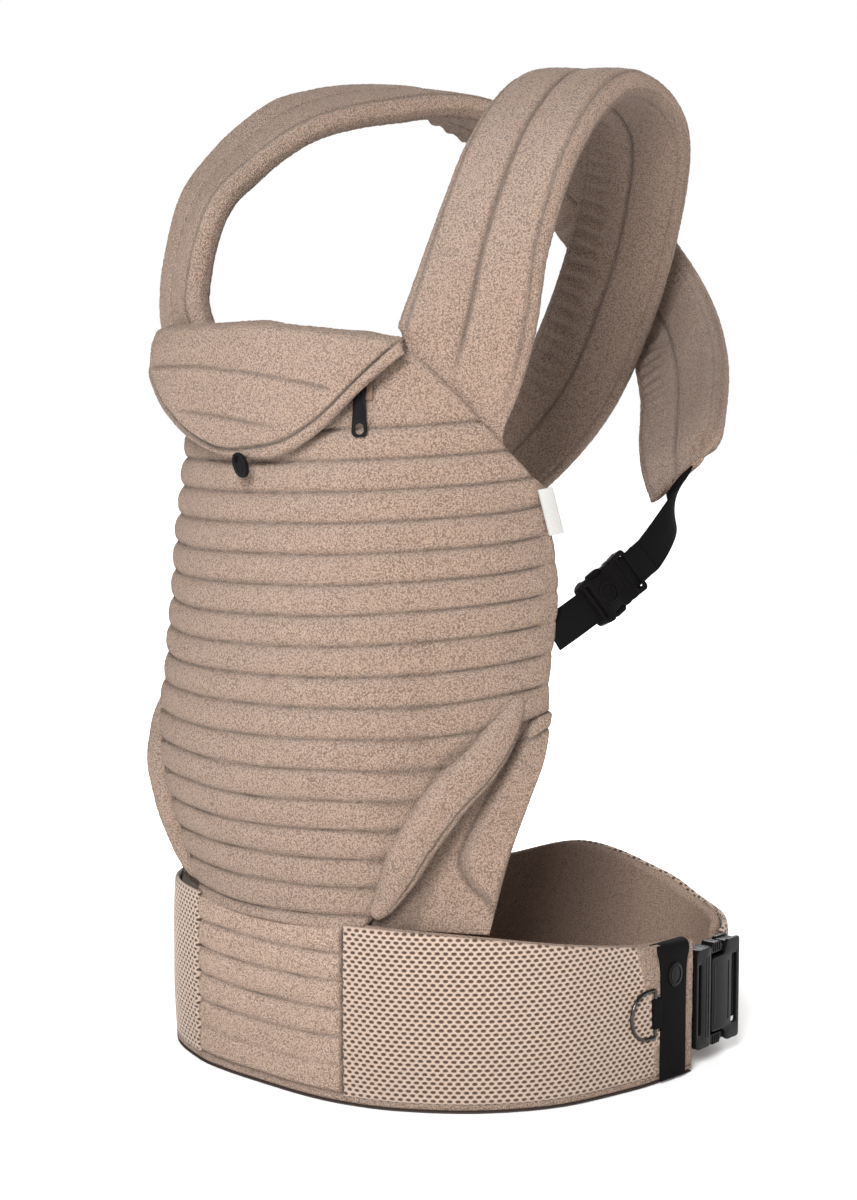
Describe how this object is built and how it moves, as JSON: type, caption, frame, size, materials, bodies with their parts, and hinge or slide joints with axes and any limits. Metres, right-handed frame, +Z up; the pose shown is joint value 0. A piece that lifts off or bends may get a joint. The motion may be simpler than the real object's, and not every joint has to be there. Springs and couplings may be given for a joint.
{
  "type": "soft baby carrier",
  "caption": "Soft structured baby carrier: quilted front panel on a padded waist belt, padded shoulder straps crossing behind, folded head flap and side-release buckles.",
  "frame": {"origin": "middle of the overall box at floor level, under the belt", "axes": "+Z up along the height; -Y is the front of the quilted panel; +X is the side with the waist buckle"},
  "size_m": [0.409, 0.4518, 0.7335],
  "materials": {
    "boucle": "looped wool-like pile",
    "spacer_mesh": "open spacer mesh",
    "lining": "soft knit lining",
    "padding": "hidden foam padding",
    "binding": "folded cloth binding",
    "webbing": "woven webbing",
    "black_plastic": "fine moulded texture",
    "zipper_metal": "black lacquer",
    "steel": "polished plated wire",
    "tag": "plain satin ribbon"
  },
  "bodies": {
    "carrier": {"belt_front_cover": "boucle", "belt_front_foam": "lining", "belt_front_hem": "binding", "d_ring_tab": "webbing", "far_wing_foam": "lining", "far_wing_hem": "binding", "far_wing_mesh": "spacer_mesh", "keeper_webbing": "webbing", "leg_roll_left": "boucle", "leg_roll_right": "boucle", "near_end_cover": "boucle", "near_wing_foam": "lining", "near_wing_hem": "binding", "near_wing_mesh": "spacer_mesh", "panel_lining": "lining", "panel_padding": "padding", "panel_shell": "boucle", "seat_gusset_left": "lining", "seat_gusset_right": "lining", "shoulder_socket_left": "black_plastic", "shoulder_socket_right": "black_plastic", "side_tag": "tag", "side_webbing_left": "webbing", "side_webbing_right": "webbing", "snap_cap": "black_plastic", "strap_lining_left": "lining", "strap_lining_right": "lining", "strap_pad_left": "boucle", "strap_pad_right": "boucle", "strap_webbing_left": "webbing", "strap_webbing_right": "webbing", "waist_socket": "black_plastic", "waist_webbing_near": "webbing", "zipper_tape": "webbing"},
    "head_flap": {"head_flap": "boucle", "flap_piping": "binding"},
    "toggle": {"toggle_tab": "webbing", "toggle_button": "black_plastic"},
    "zipper_slider": {"zipper_slider": "zipper_metal"},
    "zipper_pull": {"zipper_pull": "zipper_metal"},
    "d_ring": {"d_ring": "steel"},
    "waist_plug": {"waist_plug": "black_plastic", "far_wing_end_mesh": "spacer_mesh", "far_wing_end_foam": "lining", "far_wing_end_hem": "binding", "waist_webbing_far": "webbing"},
    "waist_prong_upper": {"waist_prong_upper": "black_plastic"},
    "waist_prong_lower": {"waist_prong_lower": "black_plastic"},
    "shoulder_plug_right": {"shoulder_plug_right": "black_plastic", "web_loop_right": "webbing"},
    "shoulder_prong_right_a": {"shoulder_prong_right_a": "black_plastic"},
    "shoulder_prong_right_b": {"shoulder_prong_right_b": "black_plastic"},
    "shoulder_plug_left": {"shoulder_plug_left": "black_plastic", "web_loop_left": "webbing"},
    "shoulder_prong_left_a": {"shoulder_prong_left_a": "black_plastic"},
    "shoulder_prong_left_b": {"shoulder_prong_left_b": "black_plastic"}
  },
  "joints": [
    {"name": "head_flap_fold", "type": "hinge", "parent": "carrier", "child": "head_flap", "pos_m": [-0.01403, -0.17798, 0.524], "axis": [-1, 0, 0], "range_deg": [0, 140]},
    {"name": "toggle_swing", "type": "hinge", "parent": "head_flap", "child": "toggle", "pos_m": [-0.01303, -0.21905, 0.4515], "axis": [-1, 0, 0], "range_deg": [0, 60]},
    {"name": "zipper_run", "type": "hinge", "parent": "carrier", "child": "zipper_slider", "pos_m": [-0.01403, 0.02402, 0.488], "axis": [0, 0, 1], "range_deg": [-40, 0]},
    {"name": "zipper_pull_swing", "type": "hinge", "parent": "zipper_slider", "child": "zipper_pull", "pos_m": [0.06386, -0.1843, 0.4855], "axis": [0.3502, -0.9367, 0], "range_deg": [-25, 25]},
    {"name": "d_ring_swing", "type": "hinge", "parent": "carrier", "child": "d_ring", "pos_m": [0.19844, -0.02839, 0.053], "axis": [0, 0, 1], "range_deg": [0, 75]},
    {"name": "waist_release", "type": "slide", "parent": "carrier", "child": "waist_plug", "axis": [0, 1, 0], "range_m": [0, 0.034]},
    {"name": "waist_prong_upper_press", "type": "hinge", "parent": "waist_plug", "child": "waist_prong_upper", "pos_m": [0.19597, 0.05462, 0.08232], "axis": [1, 0, 0], "range_deg": [0, 6], "stiffness_Nm_per_rad": 0.15},
    {"name": "waist_prong_lower_press", "type": "hinge", "parent": "waist_plug", "child": "waist_prong_lower", "pos_m": [0.19597, 0.05462, 0.02168], "axis": [-1, 0, 0], "range_deg": [0, 6], "stiffness_Nm_per_rad": 0.15},
    {"name": "shoulder_release_right", "type": "slide", "parent": "carrier", "child": "shoulder_plug_right", "axis": [0.038, 0.8912, 0.4521], "range_m": [0, 0.024]},
    {"name": "shoulder_prong_right_a_press", "type": "hinge", "parent": "shoulder_plug_right", "child": "shoulder_prong_right_a", "pos_m": [0.14664, -0.01991, 0.36327], "axis": [0.8934, -0.233, 0.3842], "range_deg": [0, 6], "stiffness_Nm_per_rad": 0.15},
    {"name": "shoulder_prong_right_b_press", "type": "hinge", "parent": "shoulder_plug_right", "child": "shoulder_prong_right_b", "pos_m": [0.15785, -0.01016, 0.34311], "axis": [-0.8934, 0.233, -0.3842], "range_deg": [0, 6], "stiffness_Nm_per_rad": 0.15},
    {"name": "shoulder_release_left", "type": "slide", "parent": "carrier", "child": "shoulder_plug_left", "axis": [-0.038, 0.8912, 0.4521], "range_m": [0, 0.024]},
    {"name": "shoulder_prong_left_a_press", "type": "hinge", "parent": "shoulder_plug_left", "child": "shoulder_prong_left_a", "pos_m": [-0.18591, -0.01016, 0.34311], "axis": [-0.8934, -0.233, 0.3842], "range_deg": [0, 6], "stiffness_Nm_per_rad": 0.15},
    {"name": "shoulder_prong_left_b_press", "type": "hinge", "parent": "shoulder_plug_left", "child": "shoulder_prong_left_b", "pos_m": [-0.1747, -0.01991, 0.36327], "axis": [0.8934, 0.233, -0.3842], "range_deg": [0, 6], "stiffness_Nm_per_rad": 0.15}
  ],
  "couplings": [
    {"joint": "waist_prong_lower_press", "follows": "waist_prong_upper_press", "ratio": 1},
    {"joint": "shoulder_prong_right_b_press", "follows": "shoulder_prong_right_a_press", "ratio": 1},
    {"joint": "shoulder_prong_left_b_press", "follows": "shoulder_prong_left_a_press", "ratio": 1}
  ]
}
